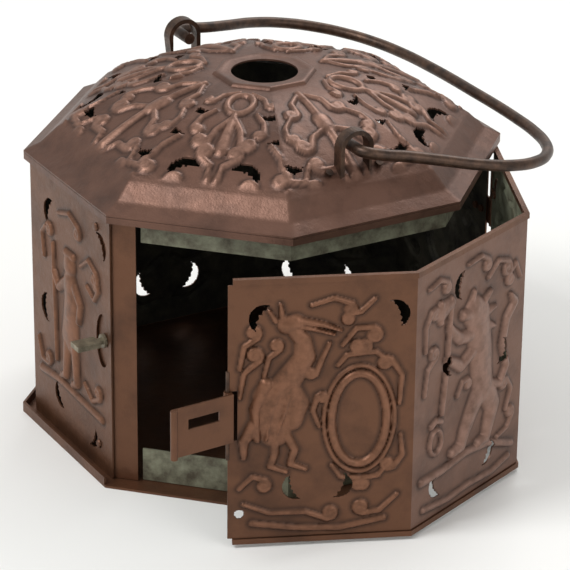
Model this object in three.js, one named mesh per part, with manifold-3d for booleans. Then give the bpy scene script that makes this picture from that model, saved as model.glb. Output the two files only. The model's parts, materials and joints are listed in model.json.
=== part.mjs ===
// Eight-sided copper foot warmer with a pierced domed lid, a three-sided door, a hasp and a bail.
// Units are millimetres, +Z is up, and the origin is the centre of the base plate's underside.
// Sides are named by the compass angle of their outward normal, seen from above, with 0 along +X.
import * as THREE from 'three';
import { mergeVertices } from 'three/addons/utils/BufferGeometryUtils.js';
import Module from 'manifold-3d';

const wasm = await Module();
wasm.setup();

// Driving dimensions
const sideCount = 8;
const wallRadius = 112.1;
const sheet = 0.8;
const gap = 0.3;
const baseRadius = 118.5;
const basePlate = 1.2;
const baseRimHeight = 5;
const baseRimWidth = 1.2;
const wallTop = 138.8;
const lidRadius = 115;
const lidEdgeHeight = 138.6;
const lidRimDrop = 4;
const lidRimWidth = 1.1;
const flangeWidth = 8;
const flangeRise = 3.9;
const bevelWidth = 8;
const bevelRise = 7.5;
const domeRise = 24;
const domeCurve = 1.9;
const domeSteps = 7;
const collarRadius = 25;
const collarRise = 1.6;
const centreHoleRadius = 16;
const bandApothem = 99;
const sillHeight = 18;
const topBandHeight = 15;
const doorOpen = 22.5;
const doorClearTop = 0.6;
const doorClearBottom = 0.6;
const hemHeight = 2.6;
const hemWidth = 2.4;
const rollRadius = 1.9;
const pinHoleRadius = 1.2;
const haspPinRadius = 0.9;
const freeEdgeInset = 1.7;
const jambInside = 18;
const jambReturn = 11;
const jambSeat = 2.67;
const latchHeight = 70;
const latchFromCorner = 10;
const latchOpeningWidth = 13;
const latchOpeningHeight = 27;
const haspHeight = 24;
const haspLength = 30;
const haspSheet = 1;
const haspLift = 2.6;
const haspSlotStart = 6.3;
const haspSlotLength = 16;
const haspSlotHeight = 5;
const haspOpen = 25;
const haspEndRadius = 1.7;
const bladeWidth = 8;
const bladeThickness = 2.6;
const bladeReach = 14.5;
const neckRadius = 1.7;
const hingeOffset = 1.05;
const barrelRadius = 2.2;
const barrelBore = 1.4;
const hingePinRadius = 1.1;
const knuckleLength = 14;
const lowerHingeHeight = 20;
const upperHingeHeight = 90;
const leafLength = 14;
const rivetShank = 1.1;
const rivetHead = 2.2;
const rivetHeadHeight = 1;
const rivetHole = 1.4;
const bailWire = 2.9;
const bailPivotRadius = 84;
const bailPivotHeight = 166;
const bailDroop = 11;
const loopWidth = 6;
const loopInner = 6.5;
const loopStrap = 2.2;
const loopFoot = 9;
const panRadius = 45;
const panBottomRadius = 36;
const panHeight = 26;
const panWall = 1;
const panX = 28;
const panY = 12;

// Values worked out from the driving dimensions
const halfTurn = Math.PI / sideCount;
const sideAngle = 360 / sideCount;
const wallApothem = wallRadius * Math.cos(halfTurn);
const halfSide = wallRadius * Math.sin(halfTurn);
const innerApothem = wallApothem - sheet;
const sheetMiddle = wallApothem - sheet / 2;
const wallLow = basePlate + gap;
const doorLow = basePlate + doorClearBottom;
const lidRimLow = lidEdgeHeight - gap - lidRimDrop;
const doorHigh = lidRimLow - doorClearTop;
const rollU = freeEdgeInset - halfSide;
const haspLow = latchHeight - haspHeight / 2 - 3;
const haspHigh = haspLow + haspHeight;
const latchU = halfSide - latchFromCorner;
const jambOuter = sheetMiddle - rollRadius - 2 * gap + 0.2;
const jambAtSide = innerApothem - 2 * gap + 0.2;

const colours = {
  copper: 0x7a5a46, lidCopper: 0x6e5748, green: 0x7d8a72, darkWire: 0x4d3a2d,
  paleMetal: 0x9aa08f, iron: 0x3a3734,
};

function finish(colour, roughness, metalness) {
  return new THREE.MeshStandardMaterial({ color: colour, roughness, metalness });
}

const radians = THREE.MathUtils.degToRad;

function outward(side) {
  return new THREE.Vector3(Math.cos(radians(side)), Math.sin(radians(side)), 0);
}

function along(side) {
  return new THREE.Vector3(-Math.sin(radians(side)), Math.cos(radians(side)), 0);
}

// A point in plan: how far out from the centre a side's line lies, and how far along that side.
function sidePoint(side, apothem, u) {
  const point = outward(side).multiplyScalar(apothem).addScaledVector(along(side), u);
  return new THREE.Vector2(point.x, point.y);
}

function toSolid(geometry) {
  const bare = geometry.clone();
  bare.deleteAttribute('normal');
  bare.deleteAttribute('uv');
  const merged = mergeVertices(bare, 1e-4);
  return new wasm.Manifold(new wasm.Mesh({
    numProp: 3,
    vertProperties: new Float32Array(merged.attributes.position.array),
    triVerts: new Uint32Array(merged.index.array),
  }));
}

function toGeometry(solid) {
  const mesh = solid.getMesh();
  const geometry = new THREE.BufferGeometry();
  geometry.setAttribute('position', new THREE.BufferAttribute(mesh.vertProperties, 3));
  geometry.setIndex(new THREE.BufferAttribute(mesh.triVerts, 1));
  const flat = geometry.toNonIndexed();
  flat.computeVertexNormals();
  return flat;
}

function join(solids) {
  return solids.reduce((whole, next) => whole.add(next));
}

function cut(solid, cutters) {
  return cutters.reduce((whole, next) => whole.subtract(next), solid);
}

function extrude(shape, low, high, curveSegments = 6) {
  const geometry = new THREE.ExtrudeGeometry(shape, {
    depth: high - low, bevelEnabled: false, curveSegments,
  });
  return geometry.translate(0, 0, low);
}

function rotated(geometry, degrees) {
  return geometry.rotateZ(radians(degrees));
}

// Stands a shape drawn as x along, y up on a side, with its depth running outwards.
function onSide(geometry, side, apothem) {
  const frame = new THREE.Matrix4().makeBasis(along(side), new THREE.Vector3(0, 0, 1), outward(side));
  frame.setPosition(outward(side).multiplyScalar(apothem));
  return geometry.applyMatrix4(frame);
}

// An upright strip of sheet that follows the sides from one place to another, anticlockwise.
function sideStrip(from, to, outerApothem, thickness, low, high) {
  const run = (apothem) => {
    const points = [sidePoint(from.side, apothem, from.u)];
    for (let side = from.side; side < to.side; side += sideAngle) {
      points.push(sidePoint(side + sideAngle / 2, apothem / Math.cos(halfTurn), 0));
    }
    points.push(sidePoint(to.side, apothem, to.u));
    return points;
  };
  const outline = [...run(outerApothem), ...run(outerApothem - thickness).reverse()];
  return toSolid(extrude(new THREE.Shape(outline), low, high));
}

function octagon(radius) {
  const points = [];
  for (let corner = 0; corner < sideCount; corner += 1) {
    points.push(sidePoint((corner + 0.5) * sideAngle, radius, 0));
  }
  return new THREE.Shape(points);
}

function disc(radius, low, high, segments = 12) {
  const geometry = new THREE.CylinderGeometry(radius, radius, high - low, segments);
  return geometry.rotateX(Math.PI / 2).translate(0, 0, (low + high) / 2);
}

function tube(outer, bore, low, high, segments = 12) {
  return toSolid(disc(outer, low, high, segments)).subtract(toSolid(disc(bore, low - 1, high + 1, segments)));
}

function box(x0, x1, y0, y1, z0, z1) {
  const geometry = new THREE.BoxGeometry(x1 - x0, y1 - y0, z1 - z0);
  return geometry.translate((x0 + x1) / 2, (y0 + y1) / 2, (z0 + z1) / 2);
}

// Half-moon piercings. Each entry is its place along the side, its height, its length and its turn.
const piercingBulge = 0.5;
const piercingHollow = 0.14;
const cutDepth = 14;

function crescent(length) {
  const half = length / 2;
  const shape = new THREE.Shape();
  shape.moveTo(-half, 0);
  shape.quadraticCurveTo(0, 2 * piercingHollow * length, half, 0);
  shape.quadraticCurveTo(0, 2 * piercingBulge * length, -half, 0);
  return shape;
}

function panelPiercings(side, places) {
  return places.map(([u, height, length, turn]) => {
    const geometry = rotated(extrude(crescent(length), -cutDepth, cutDepth, 5), turn);
    return toSolid(onSide(geometry.translate(u, height, 0), side, wallApothem));
  });
}

const figurePanel = [
  [-21, 114, 15, 70], [31, 117, 14, -60], [-26, 63, 15, 95], [-13, 22, 14, 120], [20, 15, 12, -120],
];
const birdPanel = [[-25, 114, 14, 60], [33, 114, 14, -70], [-10, 30, 13, 110], [9, 30, 13, -110]];
const lionPanel = [
  [-7, 115, 14, 80], [-15, 79, 13, 100], [23, 71, 14, -95], [15, 21, 13, -110], [-23, 20, 13, 115],
];
const plainPanel = [[-25, 114, 14, 70], [28, 114, 14, -70], [-26, 64, 14, 95], [-12, 25, 14, 115], [12, 25, 14, -115]];
const doorPeep = { u: -36, height: 17, radius: 2.2 };

// Rivets are turned about their own axis, with the head outside and the clinched tail inside.
function rivet(grip) {
  const tail = -grip - gap;
  const profile = [
    [0, tail - rivetHeadHeight], [rivetHead * 0.85, tail - rivetHeadHeight], [rivetHead * 0.85, tail],
    [rivetShank, tail], [rivetShank, gap], [rivetHead, gap], [rivetHead * 0.8, gap + rivetHeadHeight * 0.7],
    [0, gap + rivetHeadHeight],
  ].map(([x, y]) => new THREE.Vector2(x, y));
  return new THREE.LatheGeometry(profile, 8).rotateX(Math.PI / 2);
}

function rivetOnSide(side, apothem, u, height, grip) {
  return toSolid(onSide(rivet(grip).translate(u, height, 0), side, apothem));
}

function rivetHoleOnSide(side, u, height) {
  const geometry = disc(rivetHole, -cutDepth, cutDepth, 8).translate(u, height, 0);
  return toSolid(onSide(geometry, side, wallApothem));
}

const part = new THREE.Group();

function addTo(group, name, solid, material) {
  const mesh = new THREE.Mesh(toGeometry(solid), material);
  mesh.name = name;
  group.add(mesh);
}

// Base plate, with its turned-up rim under the five fixed sides
const fixedFrom = { side: 45, u: -halfSide };
const fixedTo = { side: 225, u: halfSide };

function makeBasePlate() {
  const rimApothem = baseRadius * Math.cos(halfTurn);
  const rimHalfSide = baseRadius * Math.sin(halfTurn);
  const rim = sideStrip(
    { side: fixedFrom.side, u: -rimHalfSide + 1 }, { side: fixedTo.side, u: rimHalfSide - 1 },
    rimApothem, baseRimWidth, basePlate / 2, baseRimHeight,
  );
  return join([toSolid(extrude(octagon(baseRadius), 0, basePlate)), rim]);
}

// The two green strips behind the door: the sill below and the band under the lid
const doorSides = { from: { side: -90, u: -30 }, to: { side: 0, u: 38 } };

function makeBand(low, high) {
  return sideStrip(doorSides.from, doorSides.to, bandApothem, sheet, low, high);
}

// Fixed wall, five sides of one sheet
const hingeGap = 3.4;
const cornerRelief = 1.4;
const jambRivetHeights = [14, 100, 126];
const jambRivetU = halfSide - jambInside + 3;
const wallLeafRivets = [-halfSide + 7, -halfSide + 12];

function latchOpening() {
  const shape = new THREE.Shape();
  shape.absellipse(0, 0, latchOpeningWidth / 2, latchOpeningHeight / 2, 0, Math.PI * 2, false);
  return toSolid(onSide(extrude(shape, -sheet * 2, sheet, 16).translate(latchU, latchHeight, 0), 225, wallApothem));
}

function leafRivetHeights(hingeHeight, level) {
  return hingeHeight + level * (knuckleLength + gap) + knuckleLength / 2;
}

function makeWallSheet() {
  const strip = sideStrip(
    { side: 45, u: -halfSide + hingeGap }, { side: 225, u: halfSide - cornerRelief },
    wallApothem, sheet, wallLow, wallTop,
  );
  const cutters = [latchOpening(), ...panelPiercings(225, figurePanel)];
  for (const side of [45, 90, 135, 180]) cutters.push(...panelPiercings(side, plainPanel));
  for (const height of jambRivetHeights) cutters.push(rivetHoleOnSide(225, jambRivetU, height));
  for (const hinge of [lowerHingeHeight, upperHingeHeight]) {
    for (const u of wallLeafRivets) cutters.push(rivetHoleOnSide(45, u, leafRivetHeights(hinge, 0)));
  }
  return cut(strip, cutters);
}

// Jamb: an angle strip inside the front-left corner that closes the gap behind the door's free edge
function lineCrossing(sideA, apothemA, sideB, apothemB) {
  const turn = radians(sideB - sideA);
  return sidePoint(sideA, apothemA, (apothemB - apothemA * Math.cos(turn)) / Math.sin(turn));
}

function makeJamb() {
  const outline = [
    sidePoint(225, jambAtSide, halfSide - jambInside),
    lineCrossing(225, jambAtSide, 270, jambOuter),
    sidePoint(270, jambOuter, -halfSide + jambReturn),
    sidePoint(270, jambOuter - sheet, -halfSide + jambReturn),
    lineCrossing(225, jambAtSide - sheet, 270, jambOuter - sheet),
    sidePoint(225, jambAtSide - sheet, halfSide - jambInside),
  ];
  const cutters = [neckHole(neckRadius + gap)];
  for (const height of jambRivetHeights) cutters.push(rivetHoleOnSide(225, jambRivetU, height));
  return cut(toSolid(extrude(new THREE.Shape(outline), wallLow, doorHigh)), cutters);
}

function addJambRivets() {
  const grip = wallApothem - jambAtSide + sheet;
  jambRivetHeights.forEach((height, index) => {
    const solid = rivetOnSide(225, wallApothem, jambRivetU, height, grip);
    addTo(part, `jamb_rivet_${index + 1}`, solid, copper);
  });
}

// Lid: a folded flange, a flat bevel, then an eight-sided dome with a raised collar round its hole
const bevelRadius = lidRadius - flangeWidth;
const domeRadius = bevelRadius - bevelWidth;
const bevelHeight = lidEdgeHeight + flangeRise;
const domeFoot = bevelHeight + bevelRise;
const domeTop = domeFoot + domeRise;

function domeHeight(radius) {
  const reach = (radius - collarRadius) / (domeRadius - collarRadius);
  return domeTop - domeRise * Math.max(reach, 0) ** domeCurve;
}

function lidLine(offset) {
  const line = [[lidRadius, lidEdgeHeight + offset], [bevelRadius, bevelHeight + offset]];
  for (let step = 0; step <= domeSteps; step += 1) {
    const radius = domeRadius + (collarRadius - domeRadius) * (step / domeSteps);
    line.push([radius, domeHeight(radius) + offset]);
  }
  line.push([collarRadius - 1.2, domeTop + collarRise + offset]);
  line.push([collarRadius - 4, domeTop + collarRise * 0.6 + offset]);
  return line;
}

function eightSided(profile) {
  const points = profile.map(([x, y]) => new THREE.Vector2(x, y));
  const geometry = new THREE.LatheGeometry(points, sideCount);
  return geometry.rotateX(Math.PI / 2).rotateZ(halfTurn);
}

const lidCentreRadius = centreHoleRadius - 5;

function lidBlank() {
  const upper = lidLine(0);
  const lower = lidLine(-sheet).reverse();
  const crown = domeTop + collarRise * 0.6;
  const profile = [...upper, [lidCentreRadius, crown], [lidCentreRadius, crown - sheet], ...lower, upper[0]];
  return toSolid(eightSided(profile));
}

// Everything under the lid's outer face, raised by a clearance, to trim what stands on the lid
function underLid(clearance) {
  const upper = lidLine(clearance);
  const foot = lidEdgeHeight - 30;
  return toSolid(eightSided([[0, foot], [lidRadius, foot], ...upper, [0, domeTop + clearance]]));
}

// Lid piercings: how far along the side, how far out, length and turn, mirrored about each side
const straightSidePiercings = [[16, 44, 12, -30], [23.5, 58, 14, -50], [14, 84, 15, -160]];
const slantSidePiercings = [[28.5, 73, 15, -40]];

function lidPiercings() {
  const cutters = [];
  for (let side = 0; side < 360; side += sideAngle) {
    const places = side % 90 === 0 ? straightSidePiercings : slantSidePiercings;
    for (const [u, out, length, turn] of places) {
      for (const hand of [1, -1]) {
        const shape = rotated(extrude(crescent(length), lidEdgeHeight - 10, domeTop + 10, 5), hand * turn);
        cutters.push(toSolid(rotated(shape.translate(hand * u, out, 0), side - 90)));
      }
    }
  }
  return cutters;
}

// Bail loops stand at the middle of the -45 and 135 degree sides, on feet that follow the slope
const loopRivetU = loopInner + loopStrap + loopFoot / 2;
const footThickness = 1.4;
const footLength = 8;

function slopeAt(out) {
  const radius = out / Math.cos(halfTurn);
  const step = 0.5;
  const rise = domeHeight(radius - step) - domeHeight(radius + step);
  return Math.atan2(rise, 2 * step * Math.cos(halfTurn));
}

// A frame on the dome: x along the side, y up the slope towards the crown, z out of the sheet
function onDome(geometry, side, out, lift) {
  const slope = slopeAt(out);
  const height = domeHeight(out / Math.cos(halfTurn));
  const inward = outward(side).multiplyScalar(-1);
  const uphill = inward.multiplyScalar(Math.cos(slope)).setZ(Math.sin(slope));
  const across = along(side).multiplyScalar(-1);
  const normal = new THREE.Vector3().crossVectors(across, uphill).normalize();
  const frame = new THREE.Matrix4().makeBasis(across, uphill, normal);
  const place = outward(side).multiplyScalar(out).setZ(height).addScaledVector(normal, lift);
  frame.setPosition(place);
  return geometry.applyMatrix4(frame);
}

function loopArch(side) {
  const outer = loopInner + loopStrap;
  const foot = bailPivotHeight - 20;
  const shape = new THREE.Shape();
  shape.moveTo(outer, foot);
  shape.absarc(0, bailPivotHeight, outer, 0, Math.PI, false);
  shape.lineTo(-outer, foot);
  shape.lineTo(-loopInner, foot);
  shape.absarc(0, bailPivotHeight, loopInner, Math.PI, 0, true);
  shape.lineTo(loopInner, foot);
  return toSolid(onSide(extrude(shape, -loopWidth / 2, loopWidth / 2, 8), side, bailPivotRadius));
}

function makeLoop(side) {
  const outer = loopInner + loopStrap;
  const solids = [loopArch(side)];
  const holes = [];
  for (const hand of [1, -1]) {
    const low = hand > 0 ? loopInner + 0.2 : -outer - loopFoot;
    const high = hand > 0 ? outer + loopFoot : -loopInner - 0.2;
    const plate = box(low, high, -footLength / 2, footLength / 2, gap, gap + footThickness);
    solids.push(toSolid(onDome(plate, side, bailPivotRadius, 0)));
    const hole = disc(rivetHole, -4, 6, 8).translate(hand * loopRivetU, 0, 0);
    holes.push(toSolid(onDome(hole, side, bailPivotRadius, 0)));
  }
  return cut(join(solids), [underLid(gap), ...holes]);
}

function loopRivet(side, hand) {
  const lift = gap + footThickness;
  const geometry = rivet(lift + sheet).translate(hand * loopRivetU, 0, lift);
  return toSolid(onDome(geometry, side, bailPivotRadius, 0));
}

function makeLid() {
  const cutters = [toSolid(disc(centreHoleRadius, domeTop - 10, domeTop + 10, 32)), ...lidPiercings()];
  for (const side of [-45, 135]) {
    for (const hand of [1, -1]) {
      const hole = disc(rivetHole, -6, 6, 8).translate(hand * loopRivetU, 0, 0);
      cutters.push(toSolid(onDome(hole, side, bailPivotRadius, 0)));
    }
  }
  return cut(lidBlank(), cutters);
}

function makeLidRim() {
  const ring = octagon(lidRadius);
  ring.holes.push(new THREE.Path(octagon(lidRadius - lidRimWidth).getPoints()));
  return toSolid(extrude(ring, lidRimLow, lidEdgeHeight - gap - sheet));
}

// Bail: a wire bow that flares out past the lid. Places are across the lid and out from the pivots.
const bailHalf = [
  [76, 0], [84, 0], [91, 1], [95, 8], [97, 20], [102, 36], [108, 54], [109, 72], [104, 88], [94, 101],
  [79, 111], [60, 117], [40, 119.5], [20, 120.5],
];

function makeBail() {
  const mirrored = bailHalf.map(([across, out]) => [-across, out]);
  const places = [...mirrored, [0, 120.5], ...bailHalf.slice().reverse()];
  const points = places.map(([across, out]) => new THREE.Vector3(across, out, 0));
  const path = new THREE.CatmullRomCurve3(points, false, 'centripetal');
  const section = new THREE.Shape();
  section.absarc(0, 0, bailWire, 0, Math.PI * 2, false);
  return toSolid(new THREE.ExtrudeGeometry(section, { steps: 72, extrudePath: path, curveSegments: 5 }));
}

// Door: three sides of one sheet, drawn shut, with a rolled free edge and its hinge at the far corner
const doorFree = { side: -90, u: rollU };
const doorHinged = { side: 0, u: halfSide - hingeGap };
const notchDepth = 4.4;
const doorLeafRivets = [halfSide - 7, halfSide - 12];

function rollCutters() {
  const notch = box(-notchDepth, notchDepth, haspLow - gap, haspHigh + gap, -cutDepth, cutDepth);
  return toSolid(onSide(notch.translate(rollU, 0, 0), -90, sheetMiddle));
}

function alongFreeEdge(geometry) {
  const place = sidePoint(-90, sheetMiddle, rollU);
  return geometry.translate(place.x, place.y, 0);
}

function makeDoorSheet() {
  const low = doorLow + hemHeight + gap;
  const high = doorHigh - hemHeight - gap;
  const strip = sideStrip(doorFree, doorHinged, wallApothem, sheet, low, high);
  const roll = toSolid(alongFreeEdge(disc(rollRadius, low, high)));
  const bore = toSolid(alongFreeEdge(disc(pinHoleRadius, low - 1, high + 1)));
  const peep = toSolid(onSide(disc(doorPeep.radius, -cutDepth, cutDepth).translate(doorPeep.u, doorPeep.height, 0), -90, wallApothem));
  const cutters = [rollCutters(), bore, peep, ...panelPiercings(-90, birdPanel)];
  cutters.push(...panelPiercings(-45, lionPanel), ...panelPiercings(0, plainPanel));
  for (const hinge of [lowerHingeHeight, upperHingeHeight]) {
    for (const u of doorLeafRivets) cutters.push(rivetHoleOnSide(0, u, leafRivetHeights(hinge, 1)));
  }
  return cut(join([strip, roll]), cutters);
}

function makeDoorHem(low, high) {
  const outer = sheetMiddle + hemWidth / 2;
  const from = { side: -90, u: rollU + rollRadius + gap };
  return sideStrip(from, doorHinged, outer, hemWidth, low, high);
}

// Hinges: barrels round the pins at the corner between the door's third side and the wall
const hingeApothem = wallApothem + hingeOffset;
const hingePlace = sidePoint(22.5, hingeApothem / Math.cos(halfTurn), 0);

function makeKnuckle(side, low) {
  const high = low + knuckleLength;
  const barrel = tube(barrelRadius, barrelBore, low, high).translate([hingePlace.x, hingePlace.y, 0]);
  const hand = side === 0 ? 1 : -1;
  const barrelU = hand * hingeApothem * Math.tan(halfTurn);
  const ends = [barrelU - hand * (barrelBore + 0.2), barrelU - hand * leafLength].sort((a, b) => a - b);
  const leaf = box(ends[0], ends[1], low, high, gap, gap + sheet);
  let knuckle = barrel.add(toSolid(onSide(leaf, side, wallApothem)));
  const rivets = side === 0 ? doorLeafRivets : wallLeafRivets;
  for (const u of rivets) {
    knuckle = knuckle.subtract(rivetHoleOnSide(side, u, low + knuckleLength / 2));
  }
  return knuckle;
}

function makeHingePin(low) {
  const high = low + 2 * knuckleLength + gap;
  const head = toSolid(disc(barrelRadius, high + gap, high + gap + 1));
  const shank = toSolid(disc(hingePinRadius, low - 1, high + gap + 0.5));
  return head.add(shank).translate([hingePlace.x, hingePlace.y, 0]);
}

function addLeafRivets(group, owner, side, rivetPlaces, level) {
  let count = 0;
  for (const hinge of [lowerHingeHeight, upperHingeHeight]) {
    for (const u of rivetPlaces) {
      const height = leafRivetHeights(hinge, level);
      const solid = rivetOnSide(side, wallApothem + gap + sheet, u, height, gap + 2 * sheet);
      count += 1;
      addTo(group, `${owner}_hinge_rivet_${count}`, solid, copper);
    }
  }
}

// Hasp, drawn from its pin along +X, with its plate lifted clear of the wall that it folds on to
function makeHasp() {
  const face = haspLift + haspSheet;
  const plate = toSolid(box(-1, haspLength, haspLift, face, haspLow, haspHigh));
  const root = toSolid(box(-1, 1.4, pinHoleRadius + 0.3, face, haspLow, haspHigh));
  const knuckle = toSolid(disc(rollRadius, haspLow, haspHigh));
  const endRoll = toSolid(disc(haspEndRadius, haspLow, haspHigh).translate(haspLength, face + haspEndRadius - haspSheet, 0));
  const slotLow = latchHeight - haspSlotHeight / 2;
  const slot = toSolid(box(haspSlotStart, haspSlotStart + haspSlotLength, 0, face + 1, slotLow, slotLow + haspSlotHeight));
  const bore = toSolid(disc(pinHoleRadius, haspLow - 1, haspHigh + 1));
  return cut(join([plate, root, knuckle, endRoll]), [slot, bore]);
}

function makeHaspPin() {
  return toSolid(disc(haspPinRadius, haspLow - 10, haspHigh + 10));
}

// Turn-button: the blade is flat while it stands level, and its round neck turns in the hasp's slot
const collarOut = 0.7;

function neckHole(radius) {
  return toSolid(onSide(disc(radius, -cutDepth, cutDepth).translate(latchU, latchHeight, 0), 225, wallApothem));
}

function makeTurnButton() {
  const bladeStart = haspLift + haspSheet - jambSeat + 1.7;
  const innerFace = jambAtSide - sheet - wallApothem;
  const washerRoom = 2 * gap + 1;
  const blade = box(-bladeWidth / 2, bladeWidth / 2, -bladeThickness / 2, bladeThickness / 2, bladeStart, bladeReach);
  const neck = disc(neckRadius, innerFace - washerRoom - 1, bladeStart + 0.5);
  const head = disc(2 * neckRadius, innerFace - washerRoom - 1, innerFace - washerRoom);
  const collar = disc(2 * neckRadius, jambAtSide - wallApothem + gap, collarOut - 0.2);
  const solids = [blade, neck, head, collar].map((piece) => toSolid(piece));
  return join(solids);
}

function makeTurnWasher() {
  const innerFace = jambAtSide - sheet - wallApothem;
  return tube(3.2 * neckRadius, neckRadius + gap, innerFace - gap - 1, innerFace - gap);
}

// Ember pan: a loose round dish on the base plate
function makeEmberPan() {
  const low = basePlate + gap;
  const high = low + panHeight;
  const profile = [
    [0, low], [panBottomRadius, low], [panRadius, high - 2], [panRadius + 1.5, high - 1], [panRadius + 1, high],
    [panRadius - panWall, high - 1], [panBottomRadius - panWall, low + panWall], [0, low + panWall],
  ].map(([x, y]) => new THREE.Vector2(x, y));
  return toSolid(new THREE.LatheGeometry(profile, 28).rotateX(Math.PI / 2).translate(panX, panY, 0));
}

const copper = finish(colours.copper, 0.45, 0.9);
const lidCopper = finish(colours.lidCopper, 0.45, 0.9);
const green = finish(colours.green, 0.7, 0.4);
const wire = finish(colours.darkWire, 0.5, 0.8);
const paleMetal = finish(colours.paleMetal, 0.5, 0.7);
const iron = finish(colours.iron, 0.6, 0.8);

addTo(part, 'base_plate', makeBasePlate(), copper);
addTo(part, 'base_sill', makeBand(wallLow, sillHeight), green);
addTo(part, 'top_band', makeBand(lidEdgeHeight - topBandHeight, bevelHeight - sheet - gap - 0.1), green);
addTo(part, 'wall_sheet', makeWallSheet(), copper);
addTo(part, 'front_jamb', makeJamb(), green);
addJambRivets();
addTo(part, 'lid', makeLid(), lidCopper);
addTo(part, 'lid_rim', makeLidRim(), lidCopper);
for (const [place, side] of Object.entries({ front: -45, rear: 135 })) {
  addTo(part, `${place}_bail_loop`, makeLoop(side), wire);
  addTo(part, `${place}_loop_rivet_1`, loopRivet(side, 1), wire);
  addTo(part, `${place}_loop_rivet_2`, loopRivet(side, -1), wire);
}
addTo(part, 'ember_pan', makeEmberPan(), iron);

// The wall's knuckles and the pins stay with the body, and the door's knuckles turn with the door.
const hinges = { lower: lowerHingeHeight, upper: upperHingeHeight };
for (const [level, height] of Object.entries(hinges)) {
  addTo(part, `${level}_wall_knuckle`, makeKnuckle(45, height), copper);
  addTo(part, `${level}_hinge_pin`, makeHingePin(height), wire);
}
addLeafRivets(part, 'wall', 45, wallLeafRivets, 0);

// The bail lies folded towards the 45 degree side, a little below level.
const bailSide = new THREE.Group();
bailSide.position.set(0, 0, bailPivotHeight);
bailSide.rotation.z = radians(-sideAngle);
const bailTilt = new THREE.Group();
bailTilt.rotation.x = radians(-bailDroop);
bailSide.add(bailTilt);
addTo(bailTilt, 'bail', makeBail(), wire);
part.add(bailSide);

// The turn-button's group looks out of the front-left side: x along the side, y up, z outwards.
const latch = new THREE.Group();
const latchPoint = sidePoint(225, wallApothem, latchU);
const latchFrame = new THREE.Matrix4().makeBasis(along(225), new THREE.Vector3(0, 0, 1), outward(225));
latchFrame.setPosition(new THREE.Vector3(latchPoint.x, latchPoint.y, latchHeight));
latchFrame.decompose(latch.position, latch.quaternion, latch.scale);
addTo(latch, 'turn_button', makeTurnButton(), paleMetal);
addTo(latch, 'turn_button_washer', makeTurnWasher(), paleMetal);
part.add(latch);

// The door is drawn shut inside a group that turns it open about the hinge pins.
const doorSwing = new THREE.Group();
doorSwing.position.set(hingePlace.x, hingePlace.y, 0);
doorSwing.rotation.z = radians(doorOpen);
const doorShut = new THREE.Group();
doorShut.position.set(-hingePlace.x, -hingePlace.y, 0);
doorSwing.add(doorShut);
addTo(doorShut, 'door_sheet', makeDoorSheet(), copper);
addTo(doorShut, 'door_top_hem', makeDoorHem(doorHigh - hemHeight, doorHigh), copper);
addTo(doorShut, 'door_bottom_hem', makeDoorHem(doorLow, doorLow + hemHeight), copper);
for (const [level, height] of Object.entries(hinges)) {
  addTo(doorShut, `${level}_door_knuckle`, makeKnuckle(0, height + knuckleLength + gap), copper);
}
addLeafRivets(doorShut, 'door', 0, doorLeafRivets, 1);

// The hasp stands out from the door's free edge, a little forward of the front panel's plane.
const haspSwing = new THREE.Group();
const haspPlace = sidePoint(-90, sheetMiddle, rollU);
haspSwing.position.set(haspPlace.x, haspPlace.y, 0);
haspSwing.rotation.z = radians(180 + haspOpen);
addTo(haspSwing, 'hasp', makeHasp(), copper);
doorShut.add(haspSwing);
const haspPinPlace = new THREE.Group();
haspPinPlace.position.copy(haspSwing.position);
addTo(haspPinPlace, 'hasp_pin', makeHaspPin(), wire);
doorShut.add(haspPinPlace);
part.add(doorSwing);

export default part;
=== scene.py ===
# %% [markdown]
# This file dresses an eight-sided copper foot warmer in Blender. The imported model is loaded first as
# a fixed frame: its solids already stand where they belong, in metres. Each later cell replaces a
# plain solid by a finely worked one, or gives it a finish, and leaves its place as it is.

# %% Load the frame
import json
import math

import bmesh
import bpy
import numpy as np
from mathutils import Matrix, Vector


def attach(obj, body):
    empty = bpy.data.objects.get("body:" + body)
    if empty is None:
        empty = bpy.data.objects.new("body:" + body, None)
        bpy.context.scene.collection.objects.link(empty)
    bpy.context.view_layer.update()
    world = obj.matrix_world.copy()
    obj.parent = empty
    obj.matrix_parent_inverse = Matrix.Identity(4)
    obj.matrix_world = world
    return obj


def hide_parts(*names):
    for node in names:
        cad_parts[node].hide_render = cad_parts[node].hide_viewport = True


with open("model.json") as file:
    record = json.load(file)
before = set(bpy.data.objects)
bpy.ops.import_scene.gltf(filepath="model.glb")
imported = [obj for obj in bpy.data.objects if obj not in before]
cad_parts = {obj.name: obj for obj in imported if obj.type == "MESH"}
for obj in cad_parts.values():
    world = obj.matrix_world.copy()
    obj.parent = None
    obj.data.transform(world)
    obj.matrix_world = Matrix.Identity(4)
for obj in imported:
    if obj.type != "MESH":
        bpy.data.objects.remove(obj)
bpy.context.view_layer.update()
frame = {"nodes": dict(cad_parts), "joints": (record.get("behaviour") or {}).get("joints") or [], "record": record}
record = frame["record"]
MILLIMETRE = 0.001
print("nodes loaded:", len(frame["nodes"]))

# %% [markdown]
# The photograph was taken with a long lens from above eye level of the object. A camera that stands
# where that lens stood, with the same turn, tilt and slight roll, gives the same outline. It comes
# first, because every later choice is judged through it.

# %% Camera
FRAME_PIXELS = 570
SENSOR = 36.0
CAMERA_PLACE = Vector((381.243, -1347.437, 703.636)) * MILLIMETRE
CAMERA_YAW = 0.268
CAMERA_PITCH = 0.429
CAMERA_ROLL = 0.011
FOCAL_PIXELS = 3147.8


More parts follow.
